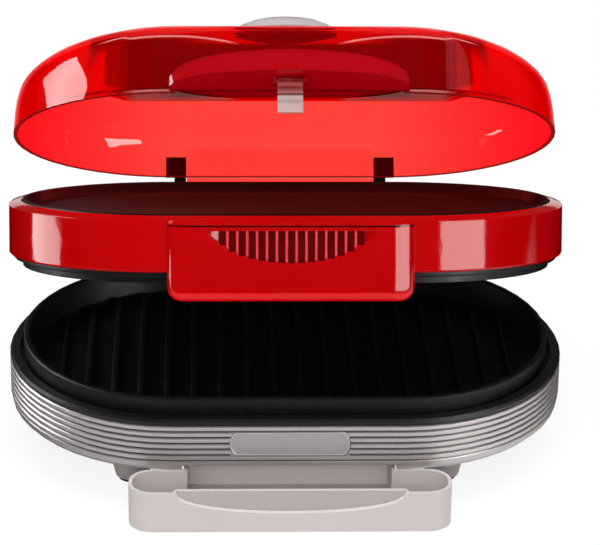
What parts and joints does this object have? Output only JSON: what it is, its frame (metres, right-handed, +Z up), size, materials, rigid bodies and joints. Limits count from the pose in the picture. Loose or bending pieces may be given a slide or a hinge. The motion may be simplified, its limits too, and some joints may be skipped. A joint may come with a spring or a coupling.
{
  "type": "hamburger maker",
  "caption": "Oval two-deck electric burger grill, standing open: silver base with ribbed pan and drip tray, red middle unit with press and warming plates, translucent red lid.",
  "frame": {"origin": "on the table, under the middle of the whole footprint with the drip tray in and the lid open; the base's own middle is 12.2 mm in front of it", "axes": "+Z is up, the front faces -Y, +X runs to the right of someone facing the back from the front"},
  "size_m": [0.31, 0.2785, 0.2341],
  "materials": {
    "red_gloss": "gloss",
    "red_translucent": "clear gloss",
    "silver_paint": "satin metallic paint",
    "black_plastic": "satin",
    "nonstick_coating": "black non-stick coating",
    "black_rubber": "matte",
    "steel": "satin",
    "warm_grey_plastic": "satin",
    "clear_plastic": "clear gloss",
    "white_ceramic": "matte"
  },
  "bodies": {
    "base": {"base_shell": "silver_paint", "seat_ring": "black_plastic", "grill_pan": "nonstick_coating", "bottom_cover": "black_plastic", "cover_screw_left": "steel", "cover_screw_right": "steel", "foot_front_left": "silver_paint", "foot_front_right": "silver_paint", "foot_rear_left": "silver_paint", "foot_rear_right": "silver_paint", "foot_pad_front_left": "black_rubber", "foot_pad_front_right": "black_rubber", "foot_pad_rear_left": "black_rubber", "foot_pad_rear_right": "black_rubber", "base_heating_tube": "steel", "base_reflector": "steel", "thermostat": "white_ceramic", "thermal_fuse": "white_ceramic", "terminal_block": "white_ceramic", "cord_inlet": "black_plastic", "hinge_bracket_left": "black_plastic", "hinge_bracket_right": "black_plastic", "hinge_pin_left": "steel", "hinge_pin_right": "steel"},
    "middle_unit": {"middle_shell": "red_gloss", "middle_handle": "red_gloss", "press_plate": "nonstick_coating", "warming_plate": "nonstick_coating", "middle_heating_tube": "steel", "middle_reflector": "steel", "middle_thermal_fuse": "white_ceramic", "middle_hinge_arm_left": "black_plastic", "middle_hinge_arm_right": "black_plastic"},
    "lid": {"lid_shell": "red_translucent", "lid_handle": "red_translucent", "lid_badge": "warm_grey_plastic", "lid_hinge_leaf": "red_translucent", "lid_hinge_arm_left": "black_plastic", "lid_hinge_arm_right": "black_plastic", "latch_pin": "steel"},
    "latch": {"lid_latch": "clear_plastic"},
    "tray": {"drip_tray": "warm_grey_plastic"}
  },
  "joints": [
    {"name": "middle_hinge", "type": "hinge", "parent": "base", "child": "middle_unit", "pos_m": [0, 0.0998, 0.038], "axis": [1, 0, 0], "range_deg": [-49, 15.9]},
    {"name": "lid_hinge", "type": "hinge", "parent": "middle_unit", "child": "lid", "pos_m": [0, 0.0998, 0.038], "axis": [1, 0, 0], "range_deg": [-29, 18.6]},
    {"name": "latch_hinge", "type": "hinge", "parent": "lid", "child": "latch", "pos_m": [0, -0.04283, 0.22048], "axis": [1, 0, 0], "range_deg": [-12, 0]},
    {"name": "tray_slide", "type": "slide", "parent": "base", "child": "tray", "axis": [0, -1, 0], "range_m": [0, 0.06]}
  ]
}
